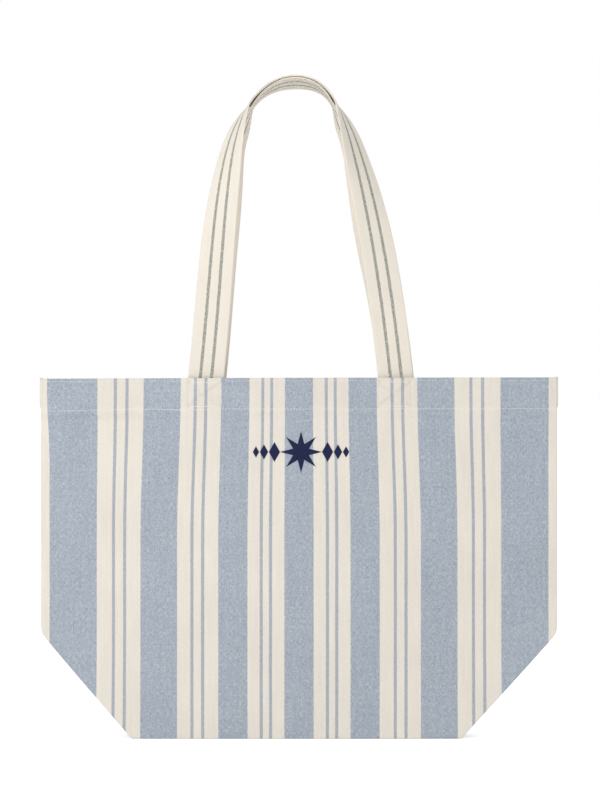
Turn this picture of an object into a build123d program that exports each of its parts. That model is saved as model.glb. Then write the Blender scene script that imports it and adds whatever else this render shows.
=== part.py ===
"""Canvas tote bag with a boxed base tucked up flat, two shoulder handles and an embroidered motif.

Millimetres, +Z up. The origin is on the floor, midway between the two walls. The front faces -Y.
"""

import os
from math import asin, cos, degrees, radians, sin, sqrt

from build123d import *

os.makedirs("parts", exist_ok=True)

# Bag body
bag_width = 522  # side seam to side seam
bag_height = 361  # floor fold to mouth
fold_width = 328  # the straight fold that stands on the floor
corner_height = 104  # where the slanting corner folds reach the side seams
base_rise = 90  # how far the base is tucked up between the walls
wall_bulge = 30  # how far each wall bows out from the side seams
cloth = 1.2  # body canvas

# Hem and seams
hem_height = 30
seam_allowance = 10
edge_row_inset = 3  # thread row below the mouth
thread = 0.8  # width of a thread row
thread_proud = 0.3
thread_sunk = 0.1

# Handles
strap_width = 36
strap_layer = 1.2  # each handle is two layers of canvas sewn together
strap_spacing = 189  # between the middles of a handle's two ends
handle_height = 303  # mouth to the middle of the front handle's arch
arch_radius = 46
arch_half_angle = 62  # from the arch's top to where the legs begin
leg_lean = 6  # from upright, where a leg leaves the mouth
leg_pull_low = 120  # how long a leg keeps its direction at the mouth
leg_pull_high = 70  # how long it keeps its direction at the arch
nest_gap = strap_width / 8  # between the front handle's arch and the rear one's under it
flex_gap = 0.5  # between a sewn-in strap end and the strap that hinges above it
stations_per_leg = 14
stations_per_arch_half = 5
edge_row_from_edge = 2.5
twist_powers = {"front": 2.6, "rear": 1.6}  # how late up a leg the quarter turn happens
gather_power = 6  # how late up a leg the front and rear straps come together

# Cross stitching that holds each strap end
box_width = 32
box_gap = 0.6  # between the box and the thread rows above and below it

# Embroidered motif
motif_drop = 74  # mouth to the middle of the motif
star_points = 8
star_radius = 21
star_waist = 8.5
diamond_width = 11
diamond_height = 20
diamond_count = 3
diamond_gap = 0.8
diamond_shrink = 0.75
backing_width = 104
backing_height = 52
backing_thickness = 0.4

half_width = bag_width / 2
half_fold = fold_width / 2
wall_radius = (half_width**2 + wall_bulge**2) / (2 * wall_bulge)
arc_centre = wall_radius - wall_bulge
strap_x = strap_spacing / 2
motif_height = bag_height - motif_drop
strap_depth = 2 * cloth  # the wall and its hem lie outside the strap
strap_radius = wall_radius - strap_depth - strap_layer
strap_y = arc_centre - sqrt(strap_radius**2 - strap_x**2)
strap_turn = degrees(asin(strap_x / strap_radius))
hem_bottom = bag_height - hem_height
hem_row = hem_bottom + thread
mouth_row = bag_height - edge_row_inset
box_low = hem_row + thread + box_gap
box_height = mouth_row - box_gap - box_low
seam_reach = sqrt((wall_radius - cloth) ** 2 - (arc_centre + cloth) ** 2)  # where the walls' inner faces first leave room


def finish(piece, name):
    piece.part.label = name
    export_step(piece.part, f"parts/{name}.step")


def wall_band(depth, thickness, left, right, height):
    """A strip of the front wall's plan, starting at this depth behind the wall's outer face."""
    reach = wall_bulge + 2
    with BuildSketch(Plane.XY.offset(height)) as band:
        with Locations((0, arc_centre)):
            Circle(wall_radius - depth)
            Circle(wall_radius - depth - thickness, mode=Mode.SUBTRACT)
        with Locations(((left + right) / 2, -reach / 2)):
            Rectangle(right - left, reach, mode=Mode.INTERSECT)
    return band.sketch


def thread_band(left, right, height):
    return wall_band(-thread_proud, thread_proud + thread_sunk, left, right, height)


def face_back():
    mirror(about=Plane.XZ, mode=Mode.REPLACE)


# Walls: bowed canvas panels whose lower corners end at the slanting folds
for side in ("front", "rear"):
    with BuildPart() as wall:
        extrude(wall_band(0, cloth, -half_width, half_width, 0), amount=bag_height)
        with BuildSketch(Plane.XZ) as corner_cut:
            with BuildLine():
                Polyline(
                    (half_fold, 0),
                    (half_width, corner_height),
                    (half_width + 1, corner_height),
                    (half_width + 1, -1),
                    (half_fold, -1),
                    close=True,
                )
            make_face()
            mirror(about=Plane.YZ)
        extrude(amount=wall_bulge + 2, mode=Mode.SUBTRACT)
        if side == "rear":
            face_back()
    finish(wall, f"{side}_wall")

# Base: two halves that slope up from the floor folds to a centre seam
for side in ("front", "rear"):
    with BuildPart() as base_half:
        with BuildSketch(Plane.XY.offset(base_rise)) as seam_edge:
            Rectangle(fold_width, cloth, align=(Align.CENTER, Align.MAX))
        loft([wall_band(cloth, cloth, -half_fold, half_fold, 0), seam_edge.sketch])
        if side == "rear":
            face_back()
    finish(base_half, f"{side}_base_half")

with BuildPart() as base_seam:
    with BuildSketch(Plane.XY.offset(base_rise)):
        Rectangle(fold_width, 2 * cloth)
    extrude(amount=seam_allowance)
finish(base_seam, "base_seam")

# Corners: folded triangles between the wall's slanting edge and the end of the base
fold_end_y = arc_centre - sqrt((wall_radius - cloth) ** 2 - half_fold**2)
fold_end = Vector(half_fold, fold_end_y, 0)
seam_top = Vector(half_fold, -cloth, base_rise)
side_end = Vector(seam_reach, -cloth, corner_height * (seam_reach - half_fold) / (half_width - half_fold))
corner_normal = (seam_top - fold_end).cross(side_end - fold_end)
corner_plane = Plane(origin=fold_end, x_dir=seam_top - fold_end, z_dir=corner_normal)
corner_length = (seam_top - fold_end).length
side_point = corner_plane.to_local_coords(side_end)

for side in ("front", "rear"):
    for hand in ("left", "right"):
        with BuildPart() as corner:
            with BuildSketch(corner_plane):
                with BuildLine():
                    Polyline((0, 0), (corner_length, 0), (side_point.X, side_point.Y), close=True)
                make_face()
            extrude(amount=cloth)
            if hand == "left":
                mirror(about=Plane.YZ, mode=Mode.REPLACE)
            if side == "rear":
                face_back()
        finish(corner, f"{side}_{hand}_corner")

# Boxed corner seams: the allowance lies on the inner face of each folded corner
for hand in ("left", "right"):
    with BuildPart() as corner_seam:
        with BuildSketch(corner_plane):
            with BuildLine():
                Polyline(
                    (corner_length / 3, 0),
                    (corner_length, 0),
                    (corner_length, seam_allowance),
                    (corner_length / 3, seam_allowance),
                    close=True,
                )
            make_face()
        extrude(amount=-cloth)
        mirror(about=Plane.XZ)
        if hand == "left":
            mirror(about=Plane.YZ, mode=Mode.REPLACE)
    finish(corner_seam, f"{hand}_corner_seam")

# Side seams: the two walls' edges sewn together, standing inside the bag
for hand, direction in (("left", -1), ("right", 1)):
    with BuildPart() as side_seam:
        with BuildSketch(Plane.XY.offset(corner_height)):
            with Locations((direction * (seam_reach - seam_allowance / 2), 0)):
                Rectangle(seam_allowance, 2 * cloth)
        extrude(amount=hem_bottom - corner_height)
    finish(side_seam, f"{hand}_side_seam")

# Hems: the cloth turned in at the mouth, and its two rows of thread
for side in ("front", "rear"):
    with BuildPart() as hem:
        extrude(wall_band(cloth, cloth, -half_width, half_width, hem_bottom), amount=hem_height)
        if side == "rear":
            face_back()
    finish(hem, f"{side}_hem")

    for row_name, row_height in (("hem_stitching", hem_row), ("mouth_stitching", mouth_row)):
        with BuildPart() as row:
            extrude(thread_band(-half_width, half_width, row_height), amount=thread)
            if side == "rear":
                face_back()
        finish(row, f"{side}_{row_name}")

# Strap ends sewn in behind the hem, and the crossed box of thread through each
for side in ("front", "rear"):
    for hand, direction in (("left", -1), ("right", 1)):
        middle = direction * strap_x
        inner = middle - strap_width / 2
        outer = middle + strap_width / 2
        with BuildPart() as strap_end:
            extrude(wall_band(strap_depth, 2 * strap_layer, inner, outer, hem_bottom), amount=hem_height)
            if side == "rear":
                face_back()
        finish(strap_end, f"{side}_{hand}_strap_end")

        with BuildPart() as box_stitch:
            box_middle = box_low + box_height / 2
            extrude(thread_band(inner, outer, hem_bottom), amount=hem_height)
            with BuildSketch(Plane.XZ) as box_lines:
                with Locations((middle, box_middle)):
                    Rectangle(box_width, box_height)
                    Rectangle(box_width - 2 * thread, box_height - 2 * thread, mode=Mode.SUBTRACT)
                diagonal = sqrt(box_width**2 + box_height**2) - 2 * thread
                slope = degrees(asin(box_height / sqrt(box_width**2 + box_height**2)))
                for turn in (slope, -slope):
                    with Locations(Location((middle, box_middle, 0), (0, 0, turn))):
                        Rectangle(diagonal, thread)
            extrude(amount=wall_bulge + 2, mode=Mode.INTERSECT)
            if side == "rear":
                face_back()
        finish(box_stitch, f"{side}_{hand}_box_stitching")

# Embroidered motif: an eight-pointed star between two rows of shrinking diamonds
star_outline = []
for point in range(2 * star_points):
    reach = star_waist if point % 2 else star_radius
    angle = radians(90 + 180 * point / star_points)
    star_outline.append((reach * cos(angle), reach * sin(angle)))

with BuildPart() as embroidery:
    backing_foot = motif_height - backing_height / 2
    extrude(thread_band(-backing_width / 2, backing_width / 2, backing_foot), amount=backing_height)
    with BuildSketch(Plane.XZ) as motif:
        with Locations((0, motif_height)):
            Polygon(*star_outline)
        for direction in (-1, 1):
            place = star_radius
            for step in range(diamond_count):
                wide = diamond_width * diamond_shrink**step
                tall = diamond_height * diamond_shrink**step
                place += wide / 2
                with Locations((direction * place, motif_height)):
                    Polygon((-wide / 2, 0), (0, tall / 2), (wide / 2, 0), (0, -tall / 2))
                place += wide / 2 + diamond_gap
    extrude(amount=wall_bulge + 2, mode=Mode.INTERSECT)
finish(embroidery, "embroidery")

with BuildPart() as backing:
    half_backing = backing_width / 2
    extrude(wall_band(cloth, backing_thickness, -half_backing, half_backing, backing_foot), amount=backing_height)
finish(backing, "embroidery_backing")


# Handles: two sewn layers that leave the mouth face on and twist a quarter turn up to the arch
def leg_line(radius):
    """Half of a handle's middle line, from the right end at the mouth to the top of the arch."""
    arch_centre = bag_height + handle_height - arch_radius
    turn = radians(arch_half_angle)
    lean = radians(leg_lean)
    join = (radius * sin(turn), 0, arch_centre + radius * cos(turn))
    foot = (strap_x, 0, bag_height + flex_gap)
    low = (foot[0] - leg_pull_low * sin(lean), 0, foot[2] + leg_pull_low * cos(lean))
    high = (join[0] + leg_pull_high * cos(turn), 0, join[2] - leg_pull_high * sin(turn))
    leg = Bezier(foot, low, high, join, mode=Mode.PRIVATE)
    arch = Edge.make_three_point_arc(
        Vector(*join),
        Vector(radius * sin(turn / 2), 0, arch_centre + radius * cos(turn / 2)),
        Vector(0, 0, arch_centre + radius),
    )
    return leg, arch


def strap_planes(side):
    """Section planes up one leg and over half the arch: local X from the outer edge to the inner one."""
    radius = arch_radius if side == "front" else arch_radius - 2 * strap_layer - nest_gap
    leg, arch = leg_line(radius)
    planes = []
    for station in range(stations_per_leg + 1):
        part_way = station / stations_per_leg
        place = leg.position_at(part_way)
        along = Vector(0, 0, 1) if station == 0 else leg.tangent_at(part_way)
        angle = radians(strap_turn + (90 - strap_turn) * part_way ** twist_powers[side])
        planes.append((place, along, angle, strap_y * (1 - part_way**gather_power)))
    for station in range(1, stations_per_arch_half + 1):
        part_way = station / stations_per_arch_half
        planes.append((arch.position_at(part_way), arch.tangent_at(part_way), radians(90), 0))
    sections = []
    for place, along, angle, depth in planes:
        inward = Vector(0, 1, 0).cross(along) * -1
        across = inward * cos(angle) + Vector(0, -1, 0) * sin(angle)
        sections.append(Plane(origin=place + Vector(0, depth, 0), x_dir=across, z_dir=along))
    return sections


def strap_strip(planes, centre, middle, width, thickness):
    """A strip along the strap, with its section's middle this far across and out from the middle line."""
    sections = []
    for plane in planes:
        with BuildSketch(plane) as section:
            with Locations((centre, middle)):
                Rectangle(width, thickness)
        sections.append(section.sketch)
    return sections


for side in ("front", "rear"):
    planes = strap_planes(side)
    for layer, offset in (("outer_layer", 1), ("inner_layer", -1)):
        with BuildPart() as strap:
            loft(strap_strip(planes, 0, offset * strap_layer / 2, strap_width, strap_layer))
            mirror(about=Plane.YZ)
            if side == "rear":
                face_back()
        finish(strap, f"{side}_handle_{layer}")

    with BuildPart() as edge_rows:
        row_out = strap_layer + (thread_proud - thread_sunk) / 2
        for edge in (-1, 1):
            row_across = edge * (strap_width / 2 - edge_row_from_edge)
            loft(strap_strip(planes, row_across, row_out, thread, thread_proud + thread_sunk))
        mirror(about=Plane.YZ)
        if side == "rear":
            face_back()
    finish(edge_rows, f"{side}_handle_edge_stitching")
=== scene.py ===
from math import asin, cos, exp, log, pi, radians, sin, sqrt
import bmesh
import bpy
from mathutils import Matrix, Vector, noise


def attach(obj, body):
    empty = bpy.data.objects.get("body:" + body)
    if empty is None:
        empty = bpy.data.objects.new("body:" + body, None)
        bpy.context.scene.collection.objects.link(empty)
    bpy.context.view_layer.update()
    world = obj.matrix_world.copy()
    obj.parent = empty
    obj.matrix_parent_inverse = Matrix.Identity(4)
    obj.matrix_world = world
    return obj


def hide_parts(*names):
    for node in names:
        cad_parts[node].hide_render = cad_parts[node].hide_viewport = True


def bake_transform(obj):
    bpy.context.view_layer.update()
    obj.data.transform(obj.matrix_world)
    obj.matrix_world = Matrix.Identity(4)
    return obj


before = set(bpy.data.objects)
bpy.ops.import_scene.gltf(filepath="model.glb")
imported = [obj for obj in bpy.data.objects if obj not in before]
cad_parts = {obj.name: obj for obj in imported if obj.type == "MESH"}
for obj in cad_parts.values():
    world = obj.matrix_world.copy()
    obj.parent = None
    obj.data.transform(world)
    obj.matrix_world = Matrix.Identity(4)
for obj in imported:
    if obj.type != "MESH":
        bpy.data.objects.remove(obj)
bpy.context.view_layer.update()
scene = bpy.context.scene
print("frame loaded")


# small helpers

def mix(a, b, amount):
    return a + (b - a) * amount


def ease(value, low=0.0, high=1.0):
    t = min(max((value - low) / (high - low), 0.0), 1.0)
    return t * t * (3 - 2 * t)


def ripple(x, y, z):
    return noise.noise(Vector((x, y, z)))


def steps(low, high, size):
    count = max(1, round(abs(high - low) / size))
    return [mix(low, high, i / count) for i in range(count + 1)]


class Wire:
    # one socket in a node tree; arithmetic on it adds Math nodes
    def __init__(self, tree, socket=None):
        self.tree, self.socket = tree, socket

    def add(self, kind, settings=None, sockets=None, out=0):
        node = self.tree.nodes.new(kind)
        for key, value in (settings or {}).items():
            setattr(node, key, value)
        for key, value in (sockets or {}).items():
            if isinstance(value, Wire):
                self.tree.links.new(value.socket, node.inputs[key])
            else:
                node.inputs[key].default_value = value
        return Wire(self.tree, node.outputs[out])

    def maths(self, operation, *values):
        return self.add("ShaderNodeMath", {"operation": operation}, dict(enumerate(values)))

    def __add__(self, other):
        return self.maths("ADD", self, other)

    def __sub__(self, other):
        return self.maths("SUBTRACT", self, other)

    def __rsub__(self, other):
        return self.maths("SUBTRACT", other, self)

    def __mul__(self, other):
        return self.maths("MULTIPLY", self, other)

    def __abs__(self):
        return self.maths("ABSOLUTE", self)

    def sine(self):
        return self.maths("SINE", self)

    def more(self, other):
        return self.maths("GREATER_THAN", self, other)

    def most(self, other):
        return self.maths("MAXIMUM", self, other)

    def clip(self):
        return self.add("ShaderNodeClamp", None, {"Value": self})

    def part(self, axis):
        return self.add("ShaderNodeSeparateXYZ", None, {0: self}, out=axis)

    def paint(self, under, over):
        # under where this mask is 0, over where it is 1
        return self.add("ShaderNodeMix", {"data_type": "RGBA"}, {0: self, 6: under, 7: over}, out=2)

    def grain(self, x, y, scale, detail=2.0, shift=0.0):
        # noise stretched by x and y over flat cloth coordinates in metres
        place = self.add("ShaderNodeVectorMath", {"operation": "MULTIPLY_ADD"},
                         {0: self, 1: (x, y, 1.0), 2: (shift, shift, 0.0)})
        return self.add("ShaderNodeTexNoise", None, {"Vector": place, "Scale": scale, "Detail": detail})

    def flatCloth(self):
        # where each point lies on the flat cloth, kept by every piece
        return self.add("ShaderNodeAttribute", {"attribute_name": "cloth"}, out=1)

    def tone(self, colour):
        # the colour made lighter or darker by this factor
        return self.add("ShaderNodeHueSaturation", None, {"Color": colour, "Saturation": 1.0, "Value": self})


def finish(name, roughness, sheen, build):
    # a material whose build function returns colour, roughness, height and the height's depth in metres
    material = bpy.data.materials.new(name)
    material.use_nodes = True
    tree = material.node_tree
    tree.nodes.clear()
    start = Wire(tree)
    output = tree.nodes.new("ShaderNodeOutputMaterial")
    shader = tree.nodes.new("ShaderNodeBsdfPrincipled")
    shader.inputs["Roughness"].default_value = roughness
    shader.inputs["Specular IOR Level"].default_value = 0.25
    shader.inputs["Sheen Weight"].default_value = sheen
    shader.inputs["Sheen Roughness"].default_value = 0.45
    tree.links.new(shader.outputs[0], output.inputs[0])
    colour, rough, height, depth = build(start)
    tree.links.new(colour.socket, shader.inputs["Base Color"])
    tree.links.new(rough.socket, shader.inputs["Roughness"])
    bump = start.add("ShaderNodeBump", None, {"Height": height, "Distance": depth, "Strength": 1.0})
    tree.links.new(bump.socket, shader.inputs["Normal"])
    return material


def rgb(red, green, blue):
    # a display colour as the linear one that the shader takes
    def line(value):
        value /= 255
        return value / 12.92 if value <= 0.04045 else ((value + 0.055) / 1.055) ** 2.4
    return (line(red), line(green), line(blue), 1.0)


# finishes

canvas = {
    "cream": rgb(234, 227, 216),
    "blue": rgb(146, 159, 176),
    "blueWeft": rgb(198, 203, 207),
    "thinBlue": rgb(163, 170, 184),
    "bands": ((0.0, 0.0292), (0.0661, 0.0292), (0.1408, 0.0372), (0.2289, 0.0492)),
    "thin": (0.0284, 0.0377, 0.0964, 0.1072, 0.1757, 0.1871),
    "thinWidth": 0.0031,
    "edgeSharp": 2600.0,
    "yarn": 0.00062,
    "hemPaintedShadeFrom": 0.331,
    "mouthLine": 0.3619,
}


def weave(flat, yarn):
    # plain weave: height, and where the crossing yarn lies on top
    across, along = flat.part(0) * (pi / yarn), flat.part(1) * (pi / yarn)
    warp, weft = across.sine(), along.sine()
    weftTop = (warp * weft).more(0.0)
    height = abs(warp) + (abs(weft) - abs(warp)) * weftTop
    return height, weftTop


def stripes(across, places, sharp):
    # 1 on each stripe of (middle, width), 0 between them
    mask = None
    for middle, width in places:
        edge = ((width / 2 - abs(across - middle)) * sharp + 0.5).clip()
        mask = edge if mask is None else mask.most(edge)
    return mask


def canvasBuild(start):
    flat = start.flatCloth()
    wander = (flat.grain(1, 0.5, 420.0, 3.0) - 0.5) * 0.0005
    across = abs(flat.part(0) + wander)
    band = stripes(across, canvas["bands"], canvas["edgeSharp"])
    thin = stripes(across, [(middle, canvas["thinWidth"]) for middle in canvas["thin"]], canvas["edgeSharp"])
    height, weftTop = weave(flat, canvas["yarn"])
    slub = flat.grain(1, 0.14, 1300.0, 2.0, 3.0)
    streak = flat.grain(1, 0.05, 420.0, 2.0, 7.0)
    mottle = flat.grain(1, 0.25, 620.0, 2.0, 13.0)
    cloud = flat.grain(1, 0.6, 26.0, 3.0, 11.0)
    bar = flat.grain(0.05, 1, 420.0, 2.0, 17.0)
    warpFleck = flat.grain(1, 0.2, 1500.0, 1.0, 5.0)
    weftFleck = flat.grain(0.2, 1, 1500.0, 1.0, 9.0)
    speck = warpFleck * 0.5 + weftFleck * 0.5
    lightYarn = (slub - 0.5) * 0.8 + (mottle - 0.5) * 0.5 + (speck - 0.5) * 3.2 + weftTop * 0.4
    lightYarn = (lightYarn + (streak - 0.5) * 0.5 + (bar - 0.5) * 0.4 + 0.2).clip()
    blue = lightYarn.paint(canvas["blue"], canvas["blueWeft"])
    thinBlue = (lightYarn * 0.35).paint(canvas["thinBlue"], canvas["cream"])
    # painted shade: the cream on the hem band is painted a little darker
    hemPaintedShade = ((flat.part(1) - canvas["hemPaintedShadeFrom"]) * 500.0).clip()
    bright = (streak - 0.5) * 0.12 + (speck - 0.5) * 0.24 + weftTop * 0.012
    cream = (bright + (0.994 - hemPaintedShade * 0.03)).tone(canvas["cream"])
    colour = thin.paint(cream, thinBlue)
    colour = band.paint(colour, blue)
    # painted shade: darker along the pressed mouth edge, more on the blue bands
    wearAndShade = abs(flat.part(1) - canvas["mouthLine"])
    wearAndShade = (1 - wearAndShade * 900.0).clip() * (band * 0.75 + 0.25)
    bright = (cloud - 0.5) * 0.12 + (mottle - 0.5) * 0.03 + (1.0 - wearAndShade * 0.2)
    colour = bright.tone(colour)
    rough = (speck - 0.5) * 0.2 + 0.88
    return colour, rough, height * 0.75 + speck * 0.7, 0.00018


tape = {
    "cream": rgb(233, 226, 213),
    "stripe": rgb(128, 130, 124),
    "lines": (0.341, 0.652),
    "lineWidth": 0.0031,
    "edgeSharp": 2800.0,
    "width": 0.036,
    "yarn": 0.00072,
}


def tapeBuild(start):
    flat = start.flatCloth()
    wander = (flat.grain(1, 0.3, 300.0, 3.0) - 0.5) * 0.0007
    across = flat.part(0) + wander
    places = [(place * tape["width"], tape["lineWidth"]) for place in tape["lines"]]
    line = stripes(across, places, tape["edgeSharp"])
    height, weftTop = weave(flat, tape["yarn"])
    slub = flat.grain(1, 0.3, 1200.0, 2.0, 2.0)
    cloud = flat.grain(1, 0.5, 60.0, 3.0, 9.0)
    dark = ((slub - 0.5) * 2.2 + (1 - weftTop * 0.45)).clip()
    stripe = dark.paint(tape["cream"], tape["stripe"])
    colour = line.paint(tape["cream"], stripe)
    bright = (cloud - 0.5) * 0.07 + (slub - 0.5) * 0.12 + weftTop * 0.015 + 0.99
    colour = bright.tone(colour)
    rough = (slub - 0.5) * 0.16 + 0.86
    return colour, rough, height * 0.7 + slub * 0.4, 0.00015


def threadBuild(dye, twist):
    # plied thread: ridges that slant across each stitch
    def build(start):
        flat = start.flatCloth()
        ply = ((flat.part(0) * 0.8 + flat.part(1)) * (2 * pi / twist)).sine()
        wearAndShade = flat.grain(1, 1, 900.0, 2.0)
        # painted shade: the ply ridges are painted lighter and the grooves between them darker
        colour = (ply * 0.07 + (wearAndShade - 0.5) * 0.25 + 1.0).tone(dye)
        return colour, (wearAndShade - 0.5) * 0.2 + 0.62, ply * 0.5 + wearAndShade * 0.4, 0.00006
    return build


def fleeceBuild(start):
    flat = start.flatCloth()
    fibre = flat.grain(1, 0.3, 1900.0, 4.0)
    tuft = flat.grain(1, 1, 500.0, 3.0, 4.0)
    colour = ((fibre - 0.5) * 0.12 + (tuft - 0.5) * 0.1 + 1.0).tone(rgb(232, 231, 226))
    return colour, (fibre - 0.5) * 0.1 + 0.93, fibre * 0.7 + tuft * 0.4, 0.0002


canvasCloth = finish("StripedCanvas", 0.88, 0.12, canvasBuild)
strapTape = finish("StrapTape", 0.86, 0.1, tapeBuild)
creamThread = finish("CreamThread", 0.62, 0.15, threadBuild(rgb(240, 236, 226), 0.0009))
navyThread = finish("NavyThread", 0.42, 0.1, threadBuild(rgb(24, 33, 74), 0.0007))
fleece = finish("BackingFleece", 0.93, 0.1, fleeceBuild)
print("finishes made")


def piece(name, points, faces, flats, material):
    mesh = bpy.data.meshes.new(name)
    mesh.from_pydata(points, [], faces)
    cloth = mesh.attributes.new("cloth", "FLOAT_VECTOR", "POINT")
    cloth.data.foreach_set("vector", [value for flat in flats for value in (flat[0], flat[1], 0.0)])
    mesh.materials.append(material)
    made = bpy.data.objects.new(name, mesh)
    scene.collection.objects.link(made)
    for face in mesh.polygons:
        face.use_smooth = True
    return made


def skinRings(faces, first, rings, around):
    # joins rings of points laid one after another into a closed tube
    for ring in range(rings - 1):
        for k in range(around):
            a, b = first + ring * around + k, first + ring * around + (k + 1) % around
            faces.append((a, b, b + around, a + around))
    faces.append(tuple(first + k for k in reversed(range(around))))
    faces.append(tuple(first + (rings - 1) * around + k for k in range(around)))


def thicken(made, thickness, weld=0.00002):
    mesh = made.data
    work = bmesh.new()
    work.from_mesh(mesh)
    bmesh.ops.remove_doubles(work, verts=work.verts, dist=weld)
    work.to_mesh(mesh)
    work.free()
    shell = made.modifiers.new("Thickness", "SOLIDIFY")
    shell.thickness, shell.offset = thickness, -1.0
    shell.use_even_offset = False
    with bpy.context.temp_override(object=made, active_object=made, selected_objects=[made]):
        bpy.ops.object.modifier_apply(modifier=shell.name)
    made.data.set_sharp_from_angle(angle=radians(55))


# bag cloth: one cut piece for each side, from the base seam round the floor fold, up and over the mouth

bag = {
    "halfWidth": 0.2605,
    "height": 0.361,
    "bulge": 0.030,
    "cornerHeight": 0.1036,
    "foldLeft": -0.1676,
    "foldRight": 0.1626,
    "cornerSoft": 0.0016,
    "creaseDepth": 0.024,
    "baseRise": 0.090,
    "hem": 0.030,
    "allowance": 0.0095,
    "thickness": 0.0010,
    "foldRound": 0.0012,
    "mouthRound": 0.00108,
    "meet": 0.0003,
    "seamFlat": 0.2725,
    "sideFull": 0.0031,
    "column": 0.0032,
    "row": 0.0034,
    "boxColumn": 0.0013,
    "boxReach": 0.021,
    "hemRow": 0.3298,
    "mouthRow": 0.3580,
    "drift": 0.046,
    "mouthTilt": 0.0026,
}
boxSewing = {
    "width": 0.0325,
    "low": 0.3325,
    "high": 0.3565,
    "pitch": 0.0031,
    "stitch": (0.0025, 0.0006, 0.00032),
    "middles": (-0.0937, 0.0963),
}
arcRadius = (bag["halfWidth"] ** 2 + bag["bulge"] ** 2) / (2 * bag["bulge"])
arcMiddle = arcRadius - bag["bulge"]
rollAngles = [pi * i / 5 for i in range(6)]


def wallDepth(x):
    # the wall's outer face bows out from the side seams, which are a little full
    return arcMiddle - sqrt(arcRadius ** 2 - x * x) - bag["sideFull"] * ease(abs(x), 0.17, 0.258)


def hemLine(x):
    # the hem's thread row wavers, and drops at the left end
    return bag["hemRow"] + 0.0007 * ripple(x * 13, 4.0, 2.0) - 0.0019 * ease(-x, 0.17, 0.25)


def boxPrint(x, z):
    # the strap end and its crossed box of thread press through the hem
    made = 0.0
    for middle in boxSewing["middles"]:
        off = x - middle
        if abs(off) > 0.024:
            continue
        raised = 0.0007 * ease(0.0205 - abs(off), 0.0, 0.0035) * ease(z, 0.326, 0.3315)
        half, low, high = boxSewing["width"] / 2, boxSewing["low"], boxSewing["high"]
        centre, slope = (low + high) / 2, (high - low) / (2 * half)
        inBox = ease(half + 0.001 - abs(off), 0.0, 0.002) * ease(z, low - 0.002, low)
        inBox *= ease(z, high + 0.002, high)
        for sign in (-1, 1):
            gap = abs(z - centre - sign * slope * off) / sqrt(1 + slope * slope)
            made -= 0.0014 * exp(-(gap / 0.0012) ** 2) * inBox
        made -= 0.0010 * exp(-((abs(off) - half) / 0.0011) ** 2) * ease(z, low - 0.002, low)
        made += raised
    return made


def creases(x, z, seed):
    # how far the outer face stands out from the plain bow
    broad = 0.0017 * ripple(x * 6.0 + seed, z * 4.0, seed)
    middle = 0.0007 * ripple(x * 19.0, z * 11.0 + seed, 2.0 + seed)
    row = z - hemLine(x)
    pulled = 0.0010 * ripple(x * 70.0 + seed, z * 22.0, 5.0) * exp(-abs(row) / (0.013 if row < 0 else 0.007))
    pulled += 0.0004 * ripple(x * 110.0, z * 20.0, 9.0 + seed) * exp(-abs(z - bag["mouthRow"]) / 0.006)
    sewn = -0.00034 * exp(-(row / 0.0012) ** 2) - 0.0002 * exp(-((z - bag["mouthRow"]) / 0.0009) ** 2)
    hemFull = (0.0021 + 0.0016 * ease(-x, 0.10, 0.20)) * ease(row, -0.012, -0.0012)
    floor = 0.0006 * ripple(x * 30.0 + seed, z * 10.0, 4.0) * exp(-z / 0.03)
    calm = ease(bag["halfWidth"] - abs(x), 0.0, 0.02) * ease(z, 0.0, 0.012)
    return (broad + middle + floor) * calm + pulled + sewn + hemFull + boxPrint(x, z)


def outerFace(x, z, seed):
    depth = wallDepth(x)
    depth = mix(depth, -bag["creaseDepth"], exp(-max(z, 0) / 0.05) * ease(z, 0.11, 0.06))
    lift = bag["mouthTilt"] * x * ease(z, 0.30, 0.36)
    return Vector((x, depth - creases(x, z, seed), z + lift))


def flatAcross(x, z):
    # cloth coordinate across: the stripes draw in a little towards the mouth
    along = arcRadius * asin(max(min(x / arcRadius, 1), -1))
    drawn = bag["drift"] * along * max(0.0, 1 - (along / 0.215) ** 2) * ease(z, 0.20, 0.355)
    spread = 0.0022 * ease(-x, 0.215, 0.25) * ease(z, 0.27, 0.35)
    return along + drawn + spread


def softLeast(a, b, soft):
    return -soft * log(exp(-a / soft) + exp(-b / soft))


def edgeAt(z, hand):
    # side edge of the wall, and the direction out of it in the wall's own plane
    fold = bag["foldRight"] if hand > 0 else -bag["foldLeft"]
    run = bag["halfWidth"] - fold
    slanted = fold + z * run / bag["cornerHeight"]
    edge = softLeast(slanted, bag["halfWidth"], bag["cornerSoft"])
    lower = ease(z, bag["cornerHeight"] + 0.003, bag["cornerHeight"] - 0.003)
    slope = Vector((bag["cornerHeight"], 0, -run)).normalized()
    out = Vector((mix(1.0, slope.x, lower), 0, mix(0.0, slope.z, lower))).normalized()
    return edge, Vector((out.x * hand, 0, out.z))


class Cloth:
    def __init__(self):
        self.points, self.flats, self.faces = [], [], []

    def grid(self, rows, flip=False):
        # rows of (point, flat) pairs, all the same length
        first, wide = len(self.points), len(rows[0])
        for row in rows:
            for point, flat in row:
                self.points.append(point)
                self.flats.append(flat)
        for r in range(len(rows) - 1):
            for c in range(wide - 1):
                a = first + r * wide + c
                loop = (a, a + wide, a + wide + 1, a + 1)
                self.faces.append(loop[::-1] if flip else loop)

    def turned(self):
        # the same cloth for the rear
        self.points = [Vector((p.x, -p.y, p.z)) for p in self.points]
        self.faces = [face[::-1] for face in self.faces]


def wallRows():
    top = bag["height"] - bag["mouthRound"]
    fine = [top, 0.3592, 0.3586, 0.3580, 0.3574, 0.3568, 0.3560]
    rows = fine + steps(0.3560, 0.3322, 0.0013)[1:]
    rows += steps(0.3322, 0.3260, 0.0006)[1:] + steps(0.3260, 0.3100, 0.0016)[1:]
    rows += steps(0.3100, bag["foldRound"], bag["row"])[1:]
    return rows


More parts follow.
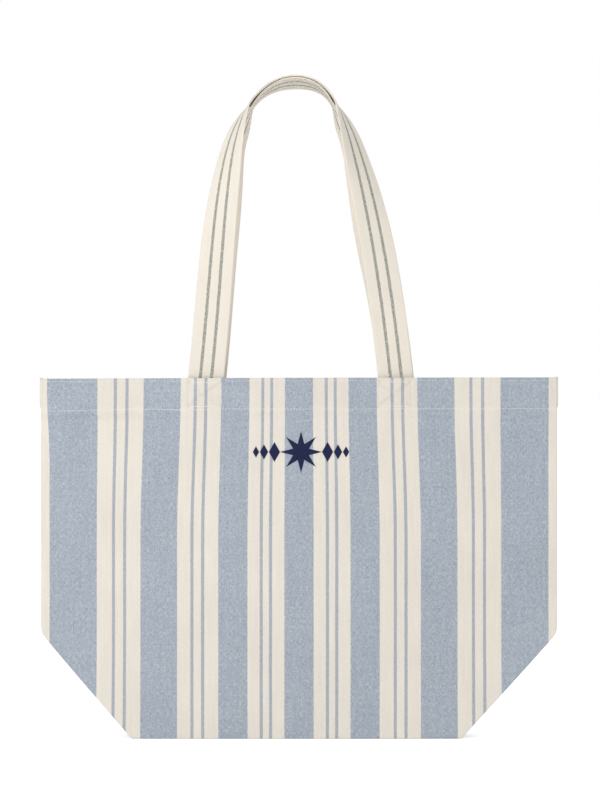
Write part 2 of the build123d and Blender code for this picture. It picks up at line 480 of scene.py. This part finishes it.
def wallColumns():
    # shares across the wall, closer together where a strap end prints through
    places, x = [], -bag["halfWidth"]
    while x < bag["halfWidth"]:
        places.append(x)
        near = min(abs(x - middle) for middle in boxSewing["middles"])
        x += bag["boxColumn"] if near < bag["boxReach"] else bag["column"]
    return [(x + bag["halfWidth"]) / (2 * bag["halfWidth"]) for x in places] + [1.0]


def sideFold(rows, wallStart, hand):
    # the roll round a side edge, and the flap behind it that runs in to the seam
    r, top = bag["foldRound"], bag["height"] - bag["mouthRound"]
    rolls, flaps = [], []
    column = -1 if hand > 0 else 0
    fold = bag["foldRight"] if hand > 0 else bag["foldLeft"]
    for index in range(wallStart + len(wallRows())):
        base, flat = rows[index][column]
        z = max(min(base.z, top), r)
        out = edgeAt(z if index >= wallStart else top, hand)[1]
        upper = ease(z, bag["cornerHeight"] - 0.004, bag["cornerHeight"] + 0.004)
        deep = mix(2 * r, max(-bag["meet"] - base.y, 0.0002), upper)
        reach = mix(r, min(r, deep / 2 + 0.0002), upper)
        roll = []
        for angle in rollAngles:
            point = base + out * reach * sin(angle) + Vector((0, deep / 2 * (1 - cos(angle)), 0))
            roll.append((point, (flat[0] + out.x * r * angle, flat[1] + out.z * r * angle)))
        rolls.append(roll)
        if index < wallStart:
            continue
        below = min(base.z / bag["cornerHeight"], 1.0)
        seamFoot = Vector((fold - hand * 0.0012, -0.0005, bag["baseRise"]))
        seamSide = Vector((hand * (bag["halfWidth"] - bag["allowance"]), -0.0004, bag["cornerHeight"]))
        if base.z < bag["cornerHeight"]:
            far = seamFoot.lerp(seamSide, below)
            farFlat = (mix(fold + hand * bag["baseRise"], hand * bag["seamFlat"], below), base.z)
        else:
            far = Vector((seamSide.x, seamSide.y, base.z))
            farFlat = (hand * bag["seamFlat"], flat[1])
        near, nearFlat = roll[-1]
        flap = []
        for share in [k / 9 for k in range(10)]:
            place = (mix(nearFlat[0], farFlat[0], share), mix(nearFlat[1], farFlat[1], share))
            flap.append((near.lerp(far, share), place))
        flaps.append(flap)
    return rolls, flaps


def bagCloth(name, seed, rear):
    cloth = Cloth()
    r, t = bag["foldRound"], bag["mouthRound"]
    top = bag["height"] - t
    shares = wallColumns()

    def across(z, depth, flatV, atZ=None):
        # one row of the wall at height z, moved back by depth and, if asked, to another height
        ends = []
        for hand in (-1, 1):
            edge, out = edgeAt(z, hand)
            ends.append(hand * (edge - r / abs(out.x)))
        row = []
        for share in shares:
            x = mix(ends[0], ends[1], share)
            point = outerFace(x, z, seed)
            point.y += depth
            if atZ is not None:
                point.z += atZ - z
            row.append((point, (flatAcross(x, z), flatV)))
        return row

    rows = []
    for z in steps(bag["height"] - bag["hem"], top, 0.003):  # hem, turned in
        row = across(top, 2 * t, 2 * bag["height"] - z, z)
        for point, flat in row:
            point.y += 0.0007 * ripple(point.x * 60, z * 40, 3 + seed) * ease(top - z, 0.0, 0.02)
            point.y += 0.00035 * ease(top - z, 0.0, 0.02)
        rows.append(row)
    for angle in reversed(rollAngles[1:-1]):  # over the mouth
        rows.append(across(top, t * (1 - cos(angle)), top + t * angle, top + t * sin(angle)))
    wallStart = len(rows)
    for z in wallRows():
        rows.append(across(z, 0.0, z))
    for angle in rollAngles[1:]:  # round the fold at the floor
        rows.append(across(r, r * (1 - cos(angle)), r - r * angle, r - r * sin(angle)))
    foldRow = rows[-1]
    slope = sqrt(bag["baseRise"] ** 2 + bag["creaseDepth"] ** 2)
    for share in steps(0, 1, 0.035)[1:]:  # the base half, tucked up
        row = []
        for point, flat in foldRow:
            x = point.x
            sag = 0.0012 * sin(pi * share) + 0.001 * ripple(x * 14, share * 3, 8 + seed) * sin(pi * share)
            y = mix(point.y, -bag["meet"], share) - sag
            row.append((Vector((x, y, mix(r, bag["baseRise"], share))), (flat[0], flat[1] - share * slope)))
        rows.append(row)
    for z in steps(bag["baseRise"], bag["baseRise"] + bag["allowance"], 0.003)[1:]:
        fall = z - bag["baseRise"]
        rows.append([(Vector((p.x, -bag["meet"], z)), (f[0], f[1] - fall)) for p, f in foldRow])
    cloth.grid(rows)
    for hand in (-1, 1):
        for part in sideFold(rows, wallStart, hand):
            cloth.grid(part, flip=hand < 0)
    if rear:
        cloth.turned()
    made = piece(name, cloth.points, cloth.faces, cloth.flats, canvasCloth)
    thicken(made, bag["thickness"])
    return made


clothSeeds = {"front": 1.3, "rear": 7.9}
for side in ("front", "rear"):
    made = bagCloth(f"{side}_cloth", clothSeeds[side], side == "rear")
    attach(made, "bag")
    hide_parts(f"{side}_wall", f"{side}_base_half", f"{side}_hem",
                f"{side}_left_corner", f"{side}_right_corner")
print("bag cloth made")


# thread

def stitches(name, places, size, material):
    # places of (middle, along, outward); size is a stitch's length, width and height
    long, wide, tall = size
    points, faces, flats = [], [], []
    rings = ((-1.0, 0.25), (-0.8, 0.75), (-0.35, 1.0), (0.35, 1.0), (0.8, 0.75), (1.0, 0.25))
    around = 6
    for number, (middle, along, outward) in enumerate(places):
        along = along.normalized()
        outward = (outward - along * outward.dot(along)).normalized()
        side = along.cross(outward)
        first = len(points)
        for place, full in rings:
            for k in range(around):
                angle = 2 * pi * k / around
                points.append(middle + along * (place * long / 2) + side * (cos(angle) * wide / 2 * full)
                              + outward * (sin(angle) * tall * full - tall * 0.25 * (1 - full)))
                flats.append((cos(angle) * wide / 2, place * long / 2 + number * 0.0013))
        skinRings(faces, first, len(rings), around)
    return piece(name, points, faces, flats, material)


def along(path, pitch):
    # evenly spaced (middle, direction, outward) down a list of (point, outward)
    placed, gone, due = [], 0.0, pitch / 2
    for (a, outA), (b, outB) in zip(path, path[1:]):
        length = (b - a).length
        while length > 0 and due <= gone + length:
            share = (due - gone) / length
            placed.append((a.lerp(b, share), b - a, outA.lerp(outB, share)))
            due += pitch
        gone += length
    return placed


def turn(vector, rear):
    return Vector((vector.x, -vector.y, vector.z)) if rear else vector


hemSewing = {
    "pitch": 0.0031,
    "reach": 0.2585,
    "hem": (0.0022, 0.0005, 0.00028),
    "mouth": (0.0019, 0.0003, 0.00013),
}


def wallPath(line, seed, rear, depth, outward):
    path = []
    for x in steps(-hemSewing["reach"], hemSewing["reach"], 0.0026):
        spot = outerFace(x, line(x), seed) + Vector((0, depth, 0))
        path.append((turn(spot, rear), turn(Vector((0, outward, 0)), rear)))
    return path


for side in ("front", "rear"):
    rear = side == "rear"
    for row, size, line in (("hem_stitching", "hem", hemLine),
                            ("mouth_stitching", "mouth", lambda x: bag["mouthRow"])):
        places = []
        for depth, outward in ((0.0, -1), (2 * bag["mouthRound"] + 0.0001, 1)):
            places += along(wallPath(line, clothSeeds[side], rear, depth, outward), hemSewing["pitch"])
        made = stitches(f"{side}_{row}_thread", places, hemSewing[size], creamThread)
        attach(made, "bag")
        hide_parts(f"{side}_{row}")
print("hems sewn")

# handles

handle = {
    "width": 0.036,
    "thickness": 0.0015,
    "leftFoot": (-0.0930, 0.361), "rightFoot": (0.0968, 0.361),
    "leftShoulder": (-0.0500, 0.6365), "rightShoulder": (0.0370, 0.6385),
    "apex": (-0.0035, 0.6615),
    "leftLean": 6.0, "rightLean": 6.0,
    "leftTurn": 33.0, "rightTurn": 29.0,
    "lowPull": 0.14, "leftPull": 0.056, "rightPull": 0.048, "archPull": 0.0190,
    "nest": 0.0022,
    "tilt": 11.0,
    "cup": 24.0,
    "insert": 0.029,
    "behind": 0.0009,
    "edgeSewing": 0.43, "edgePitch": 0.0032, "edgeStitch": (0.0026, 0.0005, 0.00026),
    "legSteps": 90, "archSteps": 18,
}
# each leg's turn in degrees: at the foot, added up the leg, the power it grows with, added near the shoulder
twist = {
    ("front", -1): (5.0, 73.0, 2.3, 11.0), ("front", 1): (10.0, 68.0, 2.5, 11.0),
    ("rear", -1): (5.0, 81.0, 2.45, 4.0), ("rear", 1): (7.0, 80.0, 2.25, 3.0),
}
# how far the rear strap lies inside the front one: at the mouth, a bulge with its place and spread, and at
# the shoulder
rearNest = {-1: (0.0008, 0.0018, 0.62, 0.22, 0.0016), 1: (-0.0022, 0.0026, 0.52, 0.20, 0.0016)}


def curve(points, count):
    a, b, c, d = (Vector((p[0], 0, p[1])) for p in points)
    made = []
    for i in range(count + 1):
        t = i / count
        made.append(a * (1 - t) ** 3 + b * 3 * t * (1 - t) ** 2 + c * 3 * t * t * (1 - t) + d * t ** 3)
    return made


def halfHandle(side, hand):
    # stations from the foot to the apex: (middle, angle, share up the leg, share over the arch)
    word = "right" if hand > 0 else "left"
    foot, shoulder, apex = handle[word + "Foot"], handle[word + "Shoulder"], handle["apex"]
    lean, turned = radians(handle[word + "Lean"]), radians(handle[word + "Turn"])
    low = (foot[0] - hand * handle["lowPull"] * sin(lean), foot[1] + handle["lowPull"] * cos(lean))
    pull, archPull = handle[word + "Pull"], handle["archPull"]
    high = (shoulder[0] + hand * pull * sin(turned), shoulder[1] - pull * cos(turned))
    rise = (shoulder[0] - hand * archPull * sin(turned), shoulder[1] + archPull * cos(turned))
    level = (apex[0] + hand * archPull, apex[1])
    leg = curve((foot, low, high, shoulder), handle["legSteps"])
    arch = curve((shoulder, rise, level, apex), handle["archSteps"])
    start, most, power, late = twist[side, hand]
    sign = 1 if side == "front" else -1
    stations = []
    gone = [0.0]
    for a, b in zip(leg, leg[1:]):
        gone.append(gone[-1] + (b - a).length)
    for i, point in enumerate(leg):
        u = gone[i] / gone[-1]
        stations.append((point, start + most * u ** power + late * u ** 14, u, 0.0))
    last = start + most + late
    for i, point in enumerate(arch[1:], 1):
        w = i / handle["archSteps"]
        stations.append((point, mix(last, 90 + sign * handle["tilt"], ease(w)), 1.0, w))
    return stations


def strapSections(side):
    # every station along the strap: middle, along, across, out and cup angle
    whole = []
    depth = -wallDepth(abs(handle["leftFoot"][0])) - 2 * bag["mouthRound"] - handle["thickness"] / 2
    depth -= handle["behind"]
    for hand in (-1, 1):
        half = halfHandle(side, hand)
        frames = []
        for i, (point, angle, u, w) in enumerate(half):
            before, after = half[max(i - 1, 0)][0], half[min(i + 1, len(half) - 1)][0]
            up = (after - before).normalized()
            inward = Vector((-hand * up.z, 0, hand * up.x))
            if inward.x * -hand < 0:
                inward = -inward
            theta = radians(angle)
            gather = depth * (1 - ease(u * 0.88 + w * 0.12, 0.72, 1.0))
            middle = point + Vector((0, -gather, 0))
            if side == "rear":
                low, bulge, centre, spread, atShoulder = rearNest[hand]
                nest = low * (1 - ease(u, 0.1, 0.6))
                pinch = atShoulder * exp(-((u + 0.25 * w - 0.94) / 0.055) ** 2)
                nest += handle["nest"] * ease(u, 0.8, 0.95) + pinch
                nest += bulge * exp(-((u - centre) / spread) ** 2)
                middle = middle + inward * nest
            across = inward * cos(theta) + Vector((0, -1, 0)) * sin(theta)
            out = up.cross(across) if hand > 0 else across.cross(up)
            cup = radians(handle["cup"]) * (ease(u, 0.4, 0.7) - 0.8 * ease(u, 0.72, 0.95))
            frames.append((middle, up, across, out, cup))
        # the sewn-in end, straight down behind the hem
        foot, up, across, out, cup = frames[0]
        ends = []
        for k in range(10, 0, -1):
            drop = handle["insert"] * k / 10
            lift = ease(drop, 0.0, 0.012)
            spot = foot + Vector((hand * 0.1 * drop, 0.0001 * lift, -drop))
            ends.append((spot, Vector((0, 0, 1)), across, out, 0.0))
        frames = ends + frames
        if hand < 0:
            whole = frames
        else:
            for middle, up, across, out, cup in reversed(frames[:-1]):
                whole.append((middle, -up, across, out, cup))
    return whole


def cupped(a, cup):
    # a place across the strap, curled by the cup angle: how far across it ends up, and how far back
    if abs(cup) <= 1e-4:
        return a, 0.0
    bend = handle["width"] / cup
    return bend * sin(a / bend), bend * (cos(a / bend) - 1)


def strapRibbon(name, side):
    sections = strapSections(side)
    rear = side == "rear"
    wide, thick = handle["width"], handle["thickness"]
    columns = [-0.5, -0.487, -0.455, -0.405, -0.32, -0.2, -0.07, 0.07, 0.2, 0.32, 0.405, 0.455, 0.487, 0.5]
    points, flats, faces = [], [], []
    length = 0.0
    around = 2 * len(columns)
    for i, (middle, up, across, out, cup) in enumerate(sections):
        if i:
            length += (middle - sections[i - 1][0]).length
        wave = 0.0004 * ripple(length * 16, 2.0 if rear else 6.0, 1.0)
        for face in (1, -1):
            order = columns if face > 0 else columns[::-1]
            for c in order:
                a = c * wide
                x, back = cupped(a, cup)
                groove = exp(-((abs(c) - handle["edgeSewing"]) / 0.016) ** 2) * 0.00018
                thin = thick / 2 * (1 - ease(abs(c), 0.48, 0.5) * 0.75) - groove
                lumps = 0.00012 * ripple(length * 45, c * 5, 3.0)
                point = middle + across * x + out * (back + face * thin + wave * c + lumps)
                points.append(turn(point, rear))
                flats.append((a + wide / 2, length))
    skinRings(faces, 0, len(sections), around)
    made = piece(name, points, faces, flats, strapTape)
    work = bmesh.new()
    work.from_mesh(made.data)
    bmesh.ops.recalc_face_normals(work, faces=work.faces)
    work.to_mesh(made.data)
    work.free()
    made.data.set_sharp_from_angle(angle=radians(60))
    return made, sections


def edgeRows(sections, rear, first, last):
    rows = []
    for c in (-handle["edgeSewing"], handle["edgeSewing"]):
        for face in (1, -1):
            path = []
            for middle, up, across, out, cup in sections[first:last]:
                x, back = cupped(c * handle["width"], cup)
                point = middle + across * x + out * (back + face * (handle["thickness"] / 2 - 0.00016))
                path.append((turn(point, rear), turn(out * face, rear)))
            rows += along(path, handle["edgePitch"])
    return rows


for side in ("front", "rear"):
    made, sections = strapRibbon(f"{side}_strap", side)
    rows = stitches(f"{side}_strap_edge_thread", edgeRows(sections, side == "rear", 10, -10),
                    handle["edgeStitch"], creamThread)
    for part in (made, rows):
        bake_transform(part)
    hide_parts(f"{side}_handle_outer_layer", f"{side}_handle_inner_layer",
                f"{side}_left_strap_end", f"{side}_right_strap_end")
    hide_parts(f"{side}_handle_edge_stitching")
print("handles made")

# crossed boxes of thread through hem and strap ends

for side in ("front", "rear"):
    rear = side == "rear"
    for hand, middle in zip(("left", "right"), boxSewing["middles"]):
        wide, low, high = boxSewing["width"] / 2, boxSewing["low"], boxSewing["high"]
        corners = [(-wide, low), (wide, low), (wide, high), (-wide, high)]
        lines = [(corners[i], corners[(i + 1) % 4]) for i in range(4)]
        lines += [(corners[0], corners[2]), (corners[1], corners[3])]
        places = []
        for (x0, z0), (x1, z1) in lines:
            for depth, outward in ((0.0, -1), (2 * bag["mouthRound"] + handle["thickness"] + 0.0008, 1)):
                path = []
                for share in steps(0.02, 0.98, 0.08):
                    x, z = middle + mix(x0, x1, share), mix(z0, z1, share)
                    spot = outerFace(x, z, clothSeeds[side]) + Vector((0, depth, 0))
                    path.append((turn(spot, rear), turn(Vector((0, outward, 0)), rear)))
                places += along(path, boxSewing["pitch"])
        made = stitches(f"{side}_{hand}_box_thread", places, boxSewing["stitch"], creamThread)
        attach(made, "bag")
        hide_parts(f"{side}_{hand}_box_stitching")
print("boxes sewn")

# seams inside: the raw edges are whipped over with thread

whip = {
    "wide": 0.0042, "cornerWide": 0.003,
    "pitch": 0.0028,
    "thread": 0.0006, "proud": 0.0004,
    "faceGap": 0.0011,
}


def whipped(name, path, wide, node):
    # path of (edge point, inward direction, face normal): a thread over the edge every few millimetres
    places = []
    for spot, inward, normal in path:
        for face in (1, -1):
            middle = spot + inward * wide / 2 + normal * face * whip["faceGap"]
            places.append((middle, inward + Vector((0, 0, 0.25)), normal * face))
        places.append((spot - inward * 0.0002, normal, -inward))
    made = stitches(name, places, (wide * 1.05, whip["thread"], whip["proud"]), creamThread)
    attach(made, "bag")
    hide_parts(node)


for hand, name in ((-1, "left"), (1, "right")):
    inner = bag["halfWidth"] - bag["allowance"]
    path = [(Vector((hand * inner, 0, z)), Vector((hand, 0, 0)), Vector((0, 1, 0)))
            for z in steps(bag["cornerHeight"] + 0.002, 0.329, whip["pitch"])]
    whipped(f"{name}_side_seam_thread", path, whip["wide"], f"{name}_side_seam")

    fold = bag["foldRight"] if hand > 0 else bag["foldLeft"]
    path = []
    for share in steps(0.12, 0.94, 0.03):
        for direction in (-1, 1):
            spot = Vector((fold - hand * 0.0022, direction * mix(bag["creaseDepth"] - 0.0035, 0.0016, share),
                           mix(0.004, bag["baseRise"], share)))
            path.append((spot, Vector((0, 0, 1)), Vector((1, 0, 0))))
    whipped(f"{name}_corner_seam_thread", path, whip["cornerWide"], f"{name}_corner_seam")

baseEdge = bag["baseRise"] + bag["allowance"]
path = [(Vector((x, 0, baseEdge)), Vector((0, 0, -1)), Vector((0, 1, 0)))
        for x in steps(bag["foldLeft"] + 0.003, bag["foldRight"] - 0.003, whip["pitch"])]
whipped("base_seam_thread", path, whip["wide"], "base_seam")
print("seams whipped")

# embroidered motif: an eight-pointed star between two rows of shrinking diamonds, in satin stitch

motif = {
    "middle": (0.002, 0.287),
    "star": 0.021, "waist": 0.0085, "points": 8,
    "diamond": (0.011, 0.020), "shrink": 0.75, "count": 3, "gap": 0.0008,
    "thread": 0.00036, "overlap": 0.9, "proud": 0.00042,
    "around": 5, "rings": 7,
}


def satin(outline, direction, places):
    # fills a convex outline with threads laid side by side across the given direction
    run = Vector((direction[0], direction[1])).normalized()
    over = Vector((-run.y, run.x))
    spots = [Vector(p) for p in outline]
    low, high = min(p.dot(run) for p in spots), max(p.dot(run) for p in spots)
    at = low + motif["thread"] / 2
    while at < high:
        cuts = []
        for a, b in zip(spots, spots[1:] + spots[:1]):
            da, db = a.dot(run) - at, b.dot(run) - at
            if da * db < 0:
                cuts.append(a.lerp(b, da / (da - db)).dot(over))
        if len(cuts) >= 2:
            places.append((run * at + over * min(cuts), run * at + over * max(cuts)))
        at += motif["thread"] * motif["overlap"]


def motifThreads():
    places = []
    count = motif["points"]
    for i in range(count):
        tip = pi / 2 + 2 * pi * i / count
        sides = [tip - pi / count, tip + pi / count]
        outline = [(0, 0), (motif["waist"] * cos(sides[0]), motif["waist"] * sin(sides[0])),
                   (motif["star"] * cos(tip), motif["star"] * sin(tip)),
                   (motif["waist"] * cos(sides[1]), motif["waist"] * sin(sides[1]))]
        satin(outline, (cos(tip), sin(tip)), places)
    for hand in (-1, 1):
        place = motif["star"]
        for step in range(motif["count"]):
            wide = motif["diamond"][0] * motif["shrink"] ** step
            tall = motif["diamond"][1] * motif["shrink"] ** step
            place += wide / 2
            x = hand * place
            satin([(x - wide / 2, 0), (x, tall / 2), (x + wide / 2, 0), (x, -tall / 2)], (0, 1), places)
            place += wide / 2 + motif["gap"]
    return places


def embroider():
    # every satin thread as a low tube that follows the cloth and sinks in at both ends
    points, faces, flats = [], [], []
    around, rings = motif["around"], motif["rings"]
    for number, (a, b) in enumerate(motifThreads()):
        length = (b - a).length
        first = len(points)
        for ring in range(rings):
            share = ring / (rings - 1)
            spot = a.lerp(b, share)
            base = outerFace(motif["middle"][0] + spot.x, motif["middle"][1] + spot.y, clothSeeds["front"])
            rise = motif["proud"] * (0.15 + 0.85 * min(1.0, length / 0.004))
            rise *= sin(pi * mix(0.06, 0.94, share)) ** 0.45
            rise += 0.00004 * ripple(number * 3.7, share * 2, 1.0)
            side = (b - a).normalized() if length > 0 else Vector((1, 0))
            width = Vector((-side.y, 0, side.x)) * motif["thread"] * 0.56
            for k in range(around):
                angle = 2 * pi * k / around
                raised = base + Vector((0, -rise, 0)) + width * cos(angle)
                points.append(raised + Vector((0, -0.00019 * sin(angle), 0)))
                flats.append((cos(angle) * 0.0002, share * length + number * 0.0017))
        skinRings(faces, first, rings, around)
    return piece("embroidered_motif", points, faces, flats, navyThread)


embroidery = embroider()
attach(embroidery, "bag")
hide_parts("embroidery")

backing = {"width": 0.104, "height": 0.052, "thickness": 0.0005}
patch = Cloth()
patchRows = []
for z in steps(motif["middle"][1] + backing["height"] / 2, motif["middle"][1] - backing["height"] / 2, 0.002):
    row = []
    for x in steps(-backing["width"] / 2, backing["width"] / 2, 0.002):
        edge = 0.0006 * ripple(z * 300, 1, 2) if abs(x) > backing["width"] / 2 - 0.001 else 0
        spot = outerFace(x + motif["middle"][0] + edge, z, clothSeeds["front"])
        spot.y += bag["thickness"] + 0.00035
        row.append((spot, (x, z)))
    patchRows.append(row)
patch.grid(patchRows)
fleecePatch = piece("backing_patch", patch.points, patch.faces, patch.flats, fleece)
thicken(fleecePatch, backing["thickness"])
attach(fleecePatch, "bag")
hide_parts("embroidery_backing")
print("motif sewn")

# floor, light and camera

studio = {
    "floorHalf": 150, "floorDrop": 0.0003,
    "floorColour": (0.95, 0.95, 0.95, 1), "floorGlow": 0.5, "skyLight": 0.66,
    "key": (-1.6, -1.9, 1.7), "keySize": 1.5, "keyPower": 33.0,
    "fill": (1.7, -1.9, 0.9), "fillSize": 1.8, "fillPower": 7.6,
    "back": (0.9, 2.3, 1.5), "backSize": 2.0, "backPower": 16.0,
    "cameraX": 0.001, "cameraDistance": 2.4, "cameraHeight": 0.3388, "lens": 106.92,
}
floorMesh = bpy.data.meshes.new("floor")
far = studio["floorHalf"]
floorMesh.from_pydata([(-far, -far, 0), (far, -far, 0), (far, far, 0), (-far, far, 0)], [], [(0, 1, 2, 3)])
floor = bpy.data.objects.new("floor", floorMesh)
scene.collection.objects.link(floor)
floor.location.z = -studio["floorDrop"]
floorPaint = bpy.data.materials.new("PaleFloor")
floorPaint.use_nodes = True
floorShader = floorPaint.node_tree.nodes["Principled BSDF"]
floorShader.inputs["Base Color"].default_value = studio["floorColour"]
floorShader.inputs["Roughness"].default_value = 0.9
floorLit = Wire(floorPaint.node_tree)
# the glow is mostly for the camera, so undersides stay shaded
floorSeen = floorLit.add("ShaderNodeLightPath", out=0)
floorGlow = floorSeen.paint((0.15, 0.15, 0.15, 1), (1, 1, 1, 1))
floorPaint.node_tree.links.new(floorGlow.socket, floorShader.inputs["Emission Color"])
floorShader.inputs["Emission Strength"].default_value = studio["floorGlow"]
floorPaint.cycles.emission_sampling = "NONE"  # too wide to be sampled as a lamp
floorMesh.materials.append(floorPaint)

world = bpy.data.worlds.new("Studio")
scene.world = world
world.use_nodes = True
sky = Wire(world.node_tree)
seen = sky.add("ShaderNodeLightPath", out=0)
world.node_tree.nodes["Background"].inputs["Color"].default_value = (1, 1, 1, 1)
strength = seen * (1.0 - studio["skyLight"]) + studio["skyLight"]
world.node_tree.links.new(strength.socket, world.node_tree.nodes["Background"].inputs["Strength"])


def lamp(name, place, size, power):
    light = bpy.data.lights.new(name, "AREA")
    light.size, light.energy = size, power
    made = bpy.data.objects.new(name, light)
    scene.collection.objects.link(made)
    made.location = place
    made.rotation_euler = (Vector((0, 0, 0.3)) - Vector(place)).to_track_quat("-Z", "Y").to_euler()


lamp("key", studio["key"], studio["keySize"], studio["keyPower"])
lamp("fill", studio["fill"], studio["fillSize"], studio["fillPower"])
lamp("back", studio["back"], studio["backSize"], studio["backPower"])

cameraData = bpy.data.cameras.new("camera")
cameraData.lens = studio["lens"]
cameraData.sensor_width = 36.0
camera = bpy.data.objects.new("camera", cameraData)
scene.collection.objects.link(camera)
camera.location = (studio["cameraX"], -studio["cameraDistance"], studio["cameraHeight"])
camera.rotation_euler = (radians(90), 0, 0)
scene.camera = camera
scene.view_settings.view_transform = "Standard"
print("studio set")
